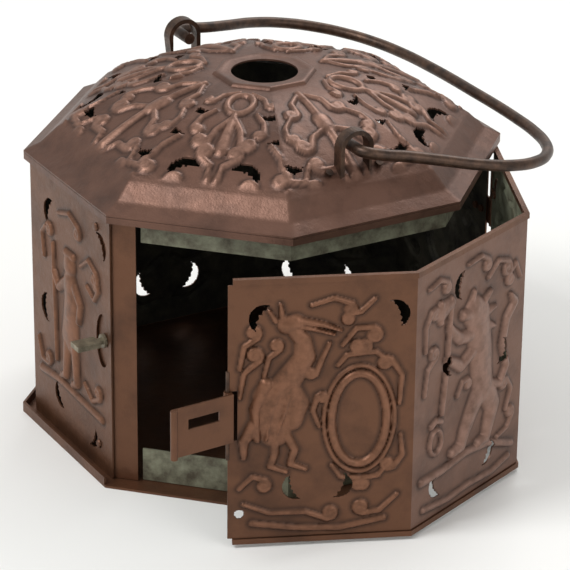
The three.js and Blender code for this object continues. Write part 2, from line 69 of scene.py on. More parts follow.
def add_camera():
    look = Vector((
        -math.sin(CAMERA_YAW) * math.cos(CAMERA_PITCH),
        math.cos(CAMERA_YAW) * math.cos(CAMERA_PITCH),
        -math.sin(CAMERA_PITCH),
    ))
    level_right = look.cross(Vector((0, 0, 1))).normalized()
    level_up = level_right.cross(look)
    right = math.cos(CAMERA_ROLL) * level_right + math.sin(CAMERA_ROLL) * level_up
    up = -math.sin(CAMERA_ROLL) * level_right + math.cos(CAMERA_ROLL) * level_up
    data = bpy.data.cameras.new("camera")
    data.sensor_width = SENSOR
    data.sensor_fit = "HORIZONTAL"
    data.lens = FOCAL_PIXELS * SENSOR / FRAME_PIXELS
    data.clip_start = 0.01
    camera = bpy.data.objects.new("camera", data)
    bpy.context.scene.collection.objects.link(camera)
    turn = Matrix((right, up, -look)).transposed()
    camera.matrix_world = Matrix.Translation(CAMERA_PLACE) @ turn.to_4x4()
    bpy.context.scene.camera = camera
    return camera


print("lens in millimetres:", round(add_camera().data.lens, 1))

# %% [markdown]
# The finishes come next. Every colour is written as the hex value seen in the picture and turned to
# linear light by one function. One small function adds a node: each input is given either a number,
# which is set on the socket, or another node's output, which is linked to it.

# %% Colour and node helpers
MIX_FACTOR, MIX_FIRST, MIX_SECOND, MIX_RESULT = 0, 6, 7, 2


def colour(hex_value):
    channels = [int(hex_value[i:i + 2], 16) / 255 for i in (1, 3, 5)]
    linear = [c / 12.92 if c <= 0.04045 else ((c + 0.055) / 1.055) ** 2.4 for c in channels]
    return (*linear, 1.0)


def add_node(tree, kind, inputs=None, output=0, **settings):
    node = tree.nodes.new(kind)
    for name, value in settings.items():
        setattr(node, name, value)
    for name, value in (inputs or {}).items():
        if isinstance(value, bpy.types.NodeSocket):
            tree.links.new(value, node.inputs[name])
        else:
            node.inputs[name].default_value = value
    return node.outputs[output]


def new_material(name):
    material = bpy.data.materials.new(name)
    material.use_nodes = True
    tree = material.node_tree
    return material, tree, tree.nodes["Principled BSDF"]


print("a mid brown in linear light:", [round(part, 3) for part in colour("#74503a")])

# %% [markdown]
# The body is sheet copper, beaten over a die and browned by two centuries of heat and handling.
# Raised parts are painted paler, as rubbed wear together with a painted highlight, the foot of each
# ridge is painted dark as shade, and fine pits roughen the sheet. Each point carries how high it stands
# and how near it is to the foot of a ridge, as two attributes, so the wear, highlight and shade follow the work.

# %% Aged copper
CLOUD_SIZE, MOTTLE_SIZE, PIT_SIZE, DENT_SIZE = 26, 5, 0.9, 8
WEAR_AND_HIGHLIGHT = 0.6
PAINTED_SHADE_AT_FOOT = 0.75


def aged_copper(name, base, worn_and_lit, soot_and_shade):
    material, tree, shader = new_material(name)
    place = add_node(tree, "ShaderNodeTexCoord", output="Object")
    height = add_node(tree, "ShaderNodeAttribute", output="Fac", attribute_name="relief")
    foot = add_node(tree, "ShaderNodeAttribute", output="Fac", attribute_name="foot")
    noises = [
        add_node(tree, "ShaderNodeTexNoise", {
            "Vector": place, "Scale": 1 / (size * MILLIMETRE), "Detail": 5.0, "Roughness": 0.62,
        })
        for size in (CLOUD_SIZE, MOTTLE_SIZE, PIT_SIZE, DENT_SIZE)
    ]
    cloud, mottle, pits, dents = noises
    cloudy = add_node(tree, "ShaderNodeMapRange", {
        "Value": cloud, "From Min": 0.45, "From Max": 0.75, "To Max": 0.6,
    })
    base_tone = add_node(tree, "ShaderNodeMix", {
        MIX_FACTOR: cloudy, MIX_FIRST: colour(base), MIX_SECOND: colour(soot_and_shade),
    }, MIX_RESULT, data_type="RGBA")
    # Raised parts are mixed towards the worn tone by their height: rubbed wear together with a painted highlight
    # on the tops.
    rubbed_and_lit = add_node(tree, "ShaderNodeMapRange", {"Value": mottle, "From Min": 0.3, "From Max": 0.6})
    rubbed_and_lit = add_node(tree, "ShaderNodeMath", {0: rubbed_and_lit, 1: height}, operation="MULTIPLY")
    rubbed_and_lit = add_node(tree, "ShaderNodeMath", {0: rubbed_and_lit, 1: WEAR_AND_HIGHLIGHT}, operation="MULTIPLY")
    worn_and_lit_tone = add_node(tree, "ShaderNodeMix", {
        MIX_FACTOR: rubbed_and_lit, MIX_FIRST: base_tone, MIX_SECOND: colour(worn_and_lit),
    }, MIX_RESULT, data_type="RGBA")
    # Painted shade: the foot of each ridge is darkened towards the dark tone, where shade falls in the hollow.
    foot_shade = add_node(tree, "ShaderNodeMath", {0: foot, 1: PAINTED_SHADE_AT_FOOT}, operation="MULTIPLY")
    tone = add_node(tree, "ShaderNodeMix", {
        MIX_FACTOR: foot_shade, MIX_FIRST: worn_and_lit_tone, MIX_SECOND: colour(soot_and_shade),
    }, MIX_RESULT, data_type="RGBA")
    tree.links.new(tone, shader.inputs["Base Color"])
    shader.inputs["Metallic"].default_value = 0.6
    rough = add_node(tree, "ShaderNodeMapRange", {"Value": mottle, "To Min": 0.3, "To Max": 0.52})
    tree.links.new(rough, shader.inputs["Roughness"])
    soft = add_node(tree, "ShaderNodeBump", {"Height": dents, "Strength": 0.4, "Distance": 0.0009})
    fine = add_node(tree, "ShaderNodeBump", {
        "Height": pits, "Normal": soft, "Strength": 0.3, "Distance": 0.0003,
    })
    tree.links.new(fine, shader.inputs["Normal"])
    return material


# Tones: base, a paler tone for rubbed wear with a painted highlight, and a dark tone for random mottle and painted
# shade.
brown_copper = aged_copper("brown_patinated_copper", "#664430", "#8d6149", "#2e1d15")
purple_copper = aged_copper("purplish_patinated_copper", "#735547", "#9a796b", "#33241f")
lid_copper = aged_copper("lid_patinated_copper", "#684a3d", "#a47d6b", "#2b1d18")
print("copper finishes:", brown_copper.name, purple_copper.name, lid_copper.name)

# %% [markdown]
# Inside, damp ash has turned the copper a dull grey green. Verdigris is a powder, not bare metal, so
# it hardly shines. The wire of the bail is dark and waxy, and the latch is a paler yellow metal.
# These finishes differ only in their two tones, their size of mottle and their shine.

# %% Verdigris, wire, pale brass and sooty iron
GRAIN_SIZE = 1.2


def mottled_metal(name, light, dark, size, metallic, roughness, depth):
    material, tree, shader = new_material(name)
    place = add_node(tree, "ShaderNodeTexCoord", output="Object")
    cloud, grain = [
        add_node(tree, "ShaderNodeTexNoise", {
            "Vector": place, "Scale": 1 / (each * MILLIMETRE), "Detail": 6.0, "Roughness": 0.66,
        })
        for each in (size, GRAIN_SIZE)
    ]
    share = add_node(tree, "ShaderNodeMapRange", {"Value": cloud, "From Min": 0.35, "From Max": 0.65})
    tone = add_node(tree, "ShaderNodeMix", {
        MIX_FACTOR: share, MIX_FIRST: colour(dark), MIX_SECOND: colour(light),
    }, MIX_RESULT, data_type="RGBA")
    tree.links.new(tone, shader.inputs["Base Color"])
    shader.inputs["Metallic"].default_value = metallic
    shader.inputs["Roughness"].default_value = roughness
    bump = add_node(tree, "ShaderNodeBump", {"Height": grain, "Strength": 0.4, "Distance": depth})
    tree.links.new(bump, shader.inputs["Normal"])
    return material


verdigris = mottled_metal("verdigris_copper", "#848570", "#4b4436", 9, 0.2, 0.66, 0.0004)
inner_soot = mottled_metal("sooty_inner_copper", "#4c483c", "#1b1714", 16, 0.25, 0.7, 0.0004)
door_green = mottled_metal("door_inner_verdigris", "#8b8f7a", "#565342", 12, 0.2, 0.66, 0.0004)
dark_wire = mottled_metal("dark_forged_wire", "#5a4335", "#31241d", 6, 0.6, 0.4, 0.0003)
pale_brass = mottled_metal("pale_brass", "#8f8672", "#5d5546", 5, 0.5, 0.5, 0.0002)
sooty_iron = mottled_metal("sooty_iron", "#3c3835", "#1a1817", 8, 0.6, 0.65, 0.0005)
print("other finishes:", verdigris.name, inner_soot.name, door_green.name, dark_wire.name)

# %% [markdown]
# Relief on sheet copper is raised by strokes: a stem, a scroll or a limb is a rounded ridge that may
# taper. So each motif is a list of strokes, given as points on the panel in millimetres, and the
# height of the sheet at any place is that of the highest stroke there. A scroll is a spiral stroke.
# A die leaves every stroke a little wider and higher than drawn, by the same share on all panels.
# Just outside each stroke lies its foot, which the finish darkens as painted shade.

# %% Strokes
FOOT_WIDTH = 2.0
FOOT_CLEAR = 0.9
SWELL = 1.28
LIFT = 1.15
CREST_POWER = 0.75
SPIRAL_CLOSE = 0.8
THIN_END, FULL_END = 0.7, 1.25
FAR = 1e3


def stroke(points, start, end=None, rise=1.5):
    return {"points": [tuple(p) for p in points], "start": start, "end": end or start, "rise": rise}


def scroll(x, y, radius, start, hand=1, turns=1.35, thick=1.35, rise=1.3, steps=22):
    points = []
    for step in range(steps + 1):
        share = step / steps
        angle = math.radians(start) + hand * share * turns * 2 * math.pi
        reach = radius * (1 - SPIRAL_CLOSE * share)
        points.append((x + reach * math.cos(angle), y + reach * math.sin(angle)))
    return stroke(points, thick * THIN_END, thick * FULL_END, rise)


def ring(x, y, half_width, half_height, thick, rise=1.4, steps=40):
    points = []
    for step in range(steps + 1):
        angle = 2 * math.pi * step / steps
        points.append((x + half_width * math.cos(angle), y + half_height * math.sin(angle)))
    return stroke(points, thick, thick, rise)


def curl(points, radius, hand=1, thick=1.4, rise=1.3):
    (ax, ay), (bx, by) = points[-2], points[-1]
    along = math.atan2(by - ay, bx - ax)
    side = along + hand * math.pi / 2
    centre = (bx + radius * math.cos(side), by + radius * math.sin(side))
    spiral = scroll(*centre, radius, math.degrees(side + math.pi), hand, 1.2, thick, rise)
    return [stroke(points, thick * THIN_END, thick, rise), spiral]


def mirrored(strokes):
    return strokes + [dict(s, points=[(-x, y) for x, y in s["points"]]) for s in strokes]


def relief_of(x, y, strokes):
    height = np.zeros_like(x)
    nearest = np.full_like(x, FAR)
    for one in strokes:
        points = one["points"]
        count = len(points) - 1
        for index in range(count):
            (ax, ay), (bx, by) = points[index], points[index + 1]
            dx, dy = bx - ax, by - ay
            length = max(dx * dx + dy * dy, 1e-9)
            share = np.clip(((x - ax) * dx + (y - ay) * dy) / length, 0, 1)
            distance = np.hypot(x - ax - share * dx, y - ay - share * dy)
            width = SWELL * (one["start"] + (one["end"] - one["start"]) * (index + share) / count)
            inside = np.clip(1 - (distance / width) ** 2, 0, 1)
            height = np.maximum(height, LIFT * one["rise"] * inside ** CREST_POWER)
            nearest = np.minimum(nearest, np.abs(distance - width))
    # foot marks the ground just outside each stroke, where the finish paints shade.
    foot = np.clip(1 - nearest / FOOT_WIDTH, 0, 1) * np.clip(1 - height / FOOT_CLEAR, 0, 1)
    return height, foot


one_stroke = [stroke([(-5, 0), (5, 0)], 2)]
print("heights on and beside a stroke:", relief_of(np.array([0.0, 3.0]), np.zeros(2), one_stroke)[0])

# %% [markdown]
# The piercings are half moons with a toothed inner edge. Each is the inside of one circle and the
# outside of another, so a signed distance tells which side of its edge a point lies on. Grid points
# near the edge move on to it, and the faces within are deleted, which leaves a clean cut.

# %% Half-moon piercings
BULGE = 0.5
HOLLOW = 0.14
TEETH = 5
TOOTH = 0.9
PROBE = 0.05
LEAST_SLOPE = 0.25
REACH = 0.5


def arc_of(length, rise):
    radius = (rise ** 2 + (length / 2) ** 2) / (2 * rise)
    return radius, rise - radius


def half_moon_distance(x, y, place):
    px, py, length, turn = place
    angle = math.radians(turn)
    u = (x - px) * math.cos(angle) + (y - py) * math.sin(angle)
    v = -(x - px) * math.sin(angle) + (y - py) * math.cos(angle)
    outer_radius, outer_y = arc_of(length, BULGE * length)
    inner_radius, inner_y = arc_of(length, HOLLOW * length)
    outer = np.hypot(u, v - outer_y) - outer_radius
    teeth = TOOTH * np.abs(((u / length * TEETH) % 1.0) * 2 - 1)
    inner = inner_radius + teeth - np.hypot(u, v - inner_y)
    return np.maximum(outer, inner)


def nearest_hole(x, y, places, extra=None):
    far = np.full_like(x, FAR)
    for place in places:
        far = np.minimum(far, half_moon_distance(x, y, place))
    return far if extra is None else np.minimum(far, extra(x, y))


def onto_edges(flat, places, cell, extra=None):
    x, y = flat[:, 0].copy(), flat[:, 1].copy()
    here = nearest_hole(x, y, places, extra)
    slope_x = (nearest_hole(x + PROBE, y, places, extra) - here) / PROBE
    slope_y = (nearest_hole(x, y + PROBE, places, extra) - here) / PROBE
    steep = np.maximum(slope_x ** 2 + slope_y ** 2, LEAST_SLOPE)
    near = np.abs(here) < REACH * cell
    flat[near, 0] -= (here * slope_x / steep)[near]
    flat[near, 1] -= (here * slope_y / steep)[near]


hole_middle = half_moon_distance(np.zeros(1), np.array([4.5]), (0, 0, 14, 0))
print("distance in the middle of a 14 mm half moon:", hole_middle)

# %% [markdown]
# One side of the body is a flat grid, drawn with its own width and height in millimetres, pierced,
# raised by the strokes, then stood up on its side of the octagon. Its faces are then extruded inwards
# by the sheet's thickness, which leaves a closed solid. A grid is used because every part of a
# beaten sheet moves, and a fine even mesh takes any motif.

# %% A worked side of sheet copper
SHEET = 0.8
WALL_RADIUS = 112.1
SIDE_HALF_ANGLE = math.pi / 8
APOTHEM = WALL_RADIUS * math.cos(SIDE_HALF_ANGLE)
HALF_SIDE = WALL_RADIUS * math.sin(SIDE_HALF_ANGLE)
CELL = 0.62
BORDER = 2.5
# Height at which the rubbed wear and painted highlight reach full strength.
FULL_WEAR_AND_HIGHLIGHT_HEIGHT = 1.6
SHARP_ANGLE = 40
OUTER, INNER = 0, 1


def store_relief(bm, height, foot):
    # relief drives the worn tone with its painted highlight; foot drives the painted shade.
    relief_layer = bm.verts.layers.float.new("relief")
    foot_layer = bm.verts.layers.float.new("foot")
    for vert in bm.verts:
        vert[relief_layer] = min(height[vert.index] / FULL_WEAR_AND_HIGHLIGHT_HEIGHT, 1.0)
        vert[foot_layer] = foot[vert.index]


def thicken(bm, offset):
    for face in bm.faces:
        face.material_index = OUTER
        face.smooth = True
    made = bmesh.ops.extrude_face_region(bm, geom=list(bm.faces), use_keep_orig=True)
    back = {item for item in made["geom"] if isinstance(item, bmesh.types.BMVert)}
    bmesh.ops.translate(bm, verts=list(back), vec=offset)
    for face in bm.faces:
        if all(vert in back for vert in face.verts):
            face.material_index = INNER
    loose = [vert for vert in bm.verts if not vert.link_faces]
    bmesh.ops.delete(bm, geom=loose, context="VERTS")
    bmesh.ops.recalc_face_normals(bm, faces=bm.faces)


def finish_mesh(bm, name, outer, inner, body, node):
    open_edges = sum(1 for edge in bm.edges if len(edge.link_faces) < 2)
    volume = bm.calc_volume(signed=True)
    if volume < 0:
        bmesh.ops.reverse_faces(bm, faces=bm.faces)
    mesh = bpy.data.meshes.new(name)
    bm.to_mesh(mesh)
    bm.free()
    mesh.set_sharp_from_angle(angle=math.radians(SHARP_ANGLE))
    mesh.materials.append(outer)
    mesh.materials.append(inner)
    piece = bpy.data.objects.new(name, mesh)
    bpy.context.scene.collection.objects.link(piece)
    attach(piece, body)
    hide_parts(node)
    triangles = sum(len(face.vertices) - 2 for face in mesh.polygons)
    print(name, "triangles:", triangles, "open edges:", open_edges, "cm3:", round(abs(volume) * 1e6, 2))


def flat_grid(low_u, high_u, low_z, high_z):
    bm = bmesh.new()
    across = round((high_u - low_u) / CELL)
    up = round((high_z - low_z) / CELL)
    bmesh.ops.create_grid(bm, x_segments=across, y_segments=up, size=0.5)
    bm.verts.index_update()
    flat = np.array([(v.co.x, v.co.y) for v in bm.verts])
    flat[:, 0] = low_u + (flat[:, 0] + 0.5) * (high_u - low_u)
    flat[:, 1] = low_z + (flat[:, 1] + 0.5) * (high_z - low_z)
    return bm, flat


def turn_about(point, centre, degrees):
    angle = math.radians(degrees)
    x, y = point[0] - centre[0], point[1] - centre[1]
    return (
        centre[0] + x * math.cos(angle) - y * math.sin(angle),
        centre[1] + x * math.sin(angle) + y * math.cos(angle),
    )


def corner_fade(flat, span):
    edges = [flat[:, 0] - span[0], span[1] - flat[:, 0], flat[:, 1] - span[2], span[3] - flat[:, 1]]
    return np.clip(np.minimum.reduce(edges) / BORDER, 0, 1)


def worked_side(side, span, strokes, piercings, extra=None, hinge=None):
    bm, flat = flat_grid(*span)
    onto_edges(flat, piercings, CELL, extra)
    height, foot = relief_of(flat[:, 0], flat[:, 1], strokes)
    fade = corner_fade(flat, span)
    store_relief(bm, height * fade, foot * fade)
    angle = math.radians(side)
    out = Vector((math.cos(angle), math.sin(angle), 0))
    run = Vector((-math.sin(angle), math.cos(angle), 0))
    for vert in bm.verts:
        u, z = flat[vert.index]
        place = out * (APOTHEM + height[vert.index] * fade[vert.index]) + run * u
        if hinge:
            place.x, place.y = turn_about(place, *hinge)
        vert.co = Vector((place.x, place.y, z)) * MILLIMETRE
    faces = list(bm.faces)
    middles = flat[[[v.index for v in face.verts] for face in faces]].mean(axis=1)
    inside = nearest_hole(middles[:, 0], middles[:, 1], piercings, extra) < 0
    bmesh.ops.delete(bm, geom=[face for face, cut in zip(faces, inside) if cut], context="FACES")
    facing = out
    if hinge:
        facing = Vector((*turn_about(out, (0, 0), hinge[1]), 0))
    thicken(bm, facing * -SHEET * MILLIMETRE)
    return bm


print("a side is", round(2 * HALF_SIDE, 1), "mm wide and stands", round(APOTHEM, 1), "mm out")

# %% [markdown]
# The front panel shows a long-billed bird beside a blank oval frame. Old stock motifs like this were
# drawn with a body of a few full strokes, then feathers, and scrolls filled what space was left.

# %% The bird and its blank oval
def bird_motif():
    body = [
        stroke([(-18, 78), (-12, 87), (-7, 95), (-8, 103), (-12, 108)], 5.6, 2.6, 2.0),
        stroke([(-15, 111), (-11, 112)], 3.7, 3.3, 2.4),
        stroke([(-9, 112.5), (1, 110.5), (9, 107.5)], 1.8, 0.7, 1.9),
        stroke([(-9, 110), (0, 107.5), (6, 105.5)], 1.2, 0.7, 1.5),
        stroke([(-16, 80), (-11, 72), (-13, 64)], 5.6, 4.6, 1.9),
        stroke([(-21, 75), (-23, 66), (-20, 58)], 7.6, 6.0, 1.9),
        stroke([(-24, 82), (-29, 70), (-28, 55)], 2.8, 1.4, 2.5),
        stroke([(-19, 79), (-22, 68), (-24, 55)], 1.9, 1.0, 2.5),
        stroke([(-14, 76), (-16, 68), (-19, 58)], 1.5, 0.9, 2.4),
        stroke([(-29, 62), (-34, 54), (-34, 46)], 3.0, 1.2, 1.8),
        stroke([(-15, 57), (-11, 49), (-13, 42), (-6, 39)], 1.9, 1.1, 1.7),
        stroke([(-20, 55), (-20, 47), (-22, 41), (-15, 38)], 1.9, 1.1, 1.7),
        stroke([(-20, 113), (-23, 118)], 1.2, 0.8, 1.3),
        stroke([(-17, 115), (-18, 121)], 1.2, 0.8, 1.3),
    ]
    oval = [ring(18, 63, 12.5, 22.5, 1.7, 1.8), ring(18, 63, 16, 26.5, 1.0, 1.2)]
    oval += curl([(8, 90), (12, 95), (20, 96)], 3.2, 1) + curl([(30, 92), (25, 96), (17, 96)], 3.2, -1)
    oval += curl([(6, 40), (10, 34), (18, 33)], 3.0, -1) + curl([(30, 38), (27, 34), (20, 33)], 3.0, 1)
    leaves = (
        curl([(-36, 76), (-34, 88), (-27, 94)], 3.6, 1) + curl([(-36, 90), (-34, 101), (-28, 105)], 3.2, 1)
        + curl([(-25, 86), (-23, 95), (-18, 99)], 2.6, 1) + curl([(10, 100), (16, 108), (24, 108)], 3.6, -1)
        + curl([(36, 70), (37, 84), (32, 92)], 3.2, 1) + curl([(37, 54), (38, 44), (34, 38)], 3.2, -1)
        + curl([(0, 60), (-3, 68), (-1, 75)], 2.4, -1) + curl([(-36, 30), (-30, 36), (-24, 34)], 3.0, -1)
        + curl([(-4, 120), (6, 123), (14, 120)], 2.6, -1) + curl([(24, 122), (18, 116), (12, 115)], 2.4, 1)
        + curl([(4, 101), (1, 94), (-2, 86)], 2.4, -1)
    )
    ground = (
        curl([(-34, 22), (-22, 17), (-6, 17), (4, 13)], 3.4, 1)
        + curl([(36, 24), (28, 16), (20, 15)], 3.4, -1)
        + [stroke([(-30, 12), (-10, 9), (10, 8), (30, 12)], 1.4, 1.4, 1.1)]
    )
    return body + oval + leaves + ground


print("bird strokes:", len(bird_motif()))

# %% [markdown]
# The next panel shows a lion on its hind legs, with a mane, a curling tail and a long axe in its
# forepaws. The fixed panel at the left shows a small standing figure among scrolls. The sides that
# the photograph doesn't show carry scrolls round a plain oval.

# %% The lion, the figure and the plain scrolls
def lion_motif():
    body = [
        stroke([(5, 90), (8, 78), (9, 66), (11, 56)], 7.5, 6.5, 2.5),
        stroke([(1, 99), (5, 95)], 6.4, 7.2, 2.7),
        stroke([(-7, 100), (-2, 99)], 2.6, 3.2, 2.5),
        stroke([(-1, 105), (1, 109)], 1.8, 1.2, 1.6),
        stroke([(9, 101), (14, 105)], 2.2, 1.0, 1.6),
        stroke([(12, 95), (18, 96)], 2.2, 1.0, 1.6),
        stroke([(13, 88), (18, 86)], 2.2, 1.0, 1.6),
        stroke([(-1, 88), (-9, 89), (-15, 94), (-18, 98)], 3.2, 2.0, 2.0),
        stroke([(1, 79), (-8, 75), (-14, 79), (-19, 82)], 3.2, 2.0, 2.0),
        stroke([(8, 56), (2, 48), (-3, 40), (-6, 33), (-13, 32)], 5.5, 2.2, 2.2),
        stroke([(14, 54), (19, 45), (16, 36), (14, 30), (8, 29)], 5.5, 2.2, 2.2),
        stroke([(15, 58), (24, 54), (29, 62), (25, 74), (28, 86), (34, 92)], 1.8, 2.4, 1.8),
        stroke([(34, 92), (31, 97)], 2.6, 1.2, 1.6),
        stroke([(-22, 56), (-19, 80), (-17, 112)], 1.3, 1.3, 1.7),
        stroke([(-17, 110), (-24, 108)], 2.4, 4.6, 1.9),
        stroke([(-25, 112), (-25, 103)], 1.6, 1.6, 1.8),
    ]
    leaves = (
        curl([(12, 112), (20, 118), (28, 115)], 3.6, -1) + curl([(38, 104), (34, 112), (28, 108)], 3.0, 1)
        + curl([(-36, 70), (-34, 82), (-28, 86)], 3.4, 1) + curl([(-36, 92), (-36, 104), (-32, 110)], 3.0, -1)
        + curl([(30, 38), (34, 48), (30, 54)], 3.0, 1) + curl([(24, 26), (32, 28), (36, 34)], 2.8, 1)
        + curl([(-10, 60), (-6, 66), (-2, 66)], 2.4, -1) + curl([(-34, 122), (-26, 124), (-20, 121)], 2.6, -1)
        + curl([(-4, 124), (6, 125), (12, 121)], 2.6, -1)
    )
    crest = [ring(-26, 43, 4.6, 6.0, 1.1, 1.4), stroke([(-30, 52), (-26, 54), (-22, 52)], 1.4, 1.4, 1.4)]
    ground = [
        stroke([(-36, 26), (-20, 26), (-2, 28), (16, 26), (36, 18)], 2.0, 1.6, 1.6),
        stroke([(-34, 11), (-16, 9), (2, 10), (20, 9), (34, 12)], 1.5, 1.5, 1.2),
    ]
    return body + leaves + crest + ground


def figure_motif():
    body = [
        stroke([(0, 97), (0, 95)], 4.6, 4.8, 2.3),
        stroke([(-4, 101), (4, 101)], 1.8, 1.8, 1.7),
        stroke([(0, 87), (1, 78), (0, 70)], 5.4, 6.0, 2.2),
        stroke([(0, 68), (-1, 58)], 6.5, 7.5, 2.0),
        stroke([(-4, 86), (-12, 80), (-17, 86)], 2.5, 1.8, 1.8),
        stroke([(5, 86), (11, 79), (9, 70)], 2.5, 1.8, 1.8),
        stroke([(-4, 54), (-5, 44), (-6, 36), (-10, 34)], 3.2, 1.8, 1.9),
        stroke([(4, 54), (5, 44), (6, 36), (2, 34)], 3.2, 1.8, 1.9),
        stroke([(-18, 100), (-17, 72), (-16, 40)], 1.2, 1.2, 1.4),
    ]
    leaves = (
        curl([(12, 100), (20, 106), (28, 102)], 3.4, -1) + curl([(-28, 90), (-30, 102), (-24, 108)], 3.2, -1)
        + curl([(-36, 44), (-32, 34), (-25, 34)], 3.2, 1) + curl([(14, 40), (22, 34), (30, 38)], 3.2, 1)
        + curl([(-12, 118), (0, 122), (10, 118)], 3.2, -1) + curl([(18, 92), (26, 88), (30, 94)], 2.4, 1)
    )
    ground = [stroke([(-34, 28), (-14, 30), (8, 29), (32, 28)], 1.8, 1.8, 1.3)]
    return body + leaves + ground


def scroll_motif():
    half = (
        curl([(3, 100), (12, 107), (24, 104)], 5.0, -1, 1.8)
        + curl([(36, 68), (32, 86), (24, 90)], 4.0, 1, 1.6)
        + curl([(3, 38), (12, 32), (24, 35)], 5.0, 1, 1.8)
        + curl([(36, 66), (34, 54), (27, 49)], 4.0, -1, 1.6)
        + curl([(2, 122), (12, 124), (20, 118)], 3.6, -1) + curl([(4, 14), (14, 12), (24, 18)], 3.6, 1)
    )
    return mirrored(half) + [ring(0, 70, 10, 16, 1.8, 1.7), ring(0, 70, 13.5, 20, 1.0, 1.2)]


print("lion, figure and scroll strokes:", len(lion_motif()), len(figure_motif()), len(scroll_motif()))

# %% [markdown]
# The holes stand where the solids have them: each is its place on the panel, its length and its
# turn. The oval latch opening, the peep hole and the notch for the hasp are plain shapes, so each is
# one distance of its own.

# %% Piercing places and the other openings
FIGURE_HOLES = [
    (-21, 114, 15, 70), (31, 117, 14, -60), (-26, 63, 15, 95), (-13, 22, 14, 120), (20, 15, 12, -120),
]
BIRD_HOLES = [(-25, 114, 14, 60), (33, 114, 14, -70), (-10, 30, 13, 110), (9, 30, 13, -110)]
LION_HOLES = [
    (-7, 115, 14, 80), (-15, 79, 13, 100), (23, 71, 14, -95), (15, 21, 13, -110), (-23, 20, 13, 115),
]
PLAIN_HOLES = [
    (-25, 114, 14, 70), (28, 114, 14, -70), (-26, 64, 14, 95), (-12, 25, 14, 115), (12, 25, 14, -115),
]
LATCH_U = HALF_SIDE - 10
LATCH_Z = 70
LATCH_HALF_WIDTH, LATCH_HALF_HEIGHT = 6.5, 13.5
PEEP_U, PEEP_Z, PEEP_RADIUS = -36, 17, 2.2
FREE_EDGE_U = 1.7 - HALF_SIDE
NOTCH_DEPTH, NOTCH_MIDDLE, NOTCH_HALF = 4.4, 67, 12.3


def latch_opening(x, y):
    reach = np.hypot((x - LATCH_U) / LATCH_HALF_WIDTH, (y - LATCH_Z) / LATCH_HALF_HEIGHT)
    return (reach - 1) * LATCH_HALF_WIDTH


def door_openings(x, y):
    peep = np.hypot(x - PEEP_U, y - PEEP_Z) - PEEP_RADIUS
    notch = np.maximum(x - FREE_EDGE_U - NOTCH_DEPTH, np.abs(y - NOTCH_MIDDLE) - NOTCH_HALF)
    return np.minimum(peep, notch)


print("holes on the seen sides:", len(FIGURE_HOLES) + len(BIRD_HOLES) + len(LION_HOLES))

# %% [markdown]
# The five fixed sides stay with the body. The three sides of the door are made in the same way and
# then turned open about the hinge, by the angle that the solids have at rest.

# %% Walls and door
WALL_LOW, WALL_HIGH = 1.5, 138.8
DOOR_LOW, DOOR_HIGH = 4.7, 130.8
HINGE_EDGE = 3.4
FRONT_EDGE = 1.4
DOOR_OPEN = 22.5
FIXED_SIDES = (45, 90, 135, 180, 225)
hinge_joint = next(joint for joint in frame["joints"] if joint["name"] == "door_swing")
hinge_turn = (tuple(value / MILLIMETRE for value in hinge_joint["pos_m"][:2]), DOOR_OPEN)


def add_walls():
    for side in FIXED_SIDES:
        low = -HALF_SIDE + (HINGE_EDGE if side == FIXED_SIDES[0] else 0)
        high = HALF_SIDE - (FRONT_EDGE if side == FIXED_SIDES[-1] else 0)
        span = (low, high, WALL_LOW, WALL_HIGH)
        if side == FIXED_SIDES[-1]:
            bm = worked_side(side, span, figure_motif(), FIGURE_HOLES, latch_opening)
        else:
            bm = worked_side(side, span, scroll_motif(), PLAIN_HOLES)
        finish_mesh(bm, f"wall_side_{side}", brown_copper, inner_soot, "body", "wall_sheet")


def add_door():
    front = (FREE_EDGE_U, HALF_SIDE, DOOR_LOW, DOOR_HIGH)
    middle = (-HALF_SIDE, HALF_SIDE, DOOR_LOW, DOOR_HIGH)
    hinged = (-HALF_SIDE, HALF_SIDE - HINGE_EDGE, DOOR_LOW, DOOR_HIGH)
    sides = [
        ("door_front", -90, front, bird_motif(), BIRD_HOLES, door_openings, brown_copper),
        ("door_middle", -45, middle, lion_motif(), LION_HOLES, None, purple_copper),
        ("door_hinged", 0, hinged, scroll_motif(), PLAIN_HOLES, None, purple_copper),
    ]
    for name, side, span, strokes, holes, extra, finish in sides:
        bm = worked_side(side, span, strokes, holes, extra, hinge_turn)
        finish_mesh(bm, name, finish, door_green, "door", "door_sheet")


add_walls()
add_door()

# %% [markdown]
# The lid is one sheet too: a narrow flange, a flat bevel, and a dome that turns from eight sides at
# its foot to round at the vent. Its section is spun round the middle with a step for every grid
# column, and each ring is then drawn out to the octagon, which keeps the corners crisp.

# %% Section and strokes of the lid
LID_RADIUS, LID_EDGE = 115.0, 138.6
BEVEL_RADIUS, BEVEL_HEIGHT = 107.0, 142.5
DOME_RADIUS, DOME_FOOT, DOME_TOP, DOME_CURVE = 99.0, 150.0, 174.0, 1.9
COLLAR_RADIUS, VENT_RADIUS = 25.0, 16.0
LID_DROP = 0.9
LID_STEPS = 8 * 58
FLANGE_RINGS, BEVEL_RINGS, DOME_RINGS = 6, 9, 84
COLLAR_LINE = [(24.2, 175.2), (23.0, 175.6), (21.5, 175.2), (20.0, 174.9), (18.0, 174.8)]
STRAIGHT_HOLES = [(16, 44, 12, -30), (23.5, 58, 14, -50), (14, 84, 15, -160)]
SLANT_HOLES = [(28.5, 73, 15, -40)]


def straight_line(start, end, count):
    return [tuple(a + (b - a) * step / count for a, b in zip(start, end)) for step in range(1, count + 1)]


def lid_section():
    edge, bevel, foot = (LID_RADIUS, LID_EDGE), (BEVEL_RADIUS, BEVEL_HEIGHT), (DOME_RADIUS, DOME_FOOT)
    section = [edge] + straight_line(edge, bevel, FLANGE_RINGS) + straight_line(bevel, foot, BEVEL_RINGS)
    for step in range(1, DOME_RINGS + 1):
        share = 1 - step / DOME_RINGS
        radius = COLLAR_RADIUS + (DOME_RADIUS - COLLAR_RADIUS) * share
        section.append((radius, DOME_TOP - (DOME_TOP - DOME_FOOT) * share ** DOME_CURVE))
    return section + COLLAR_LINE


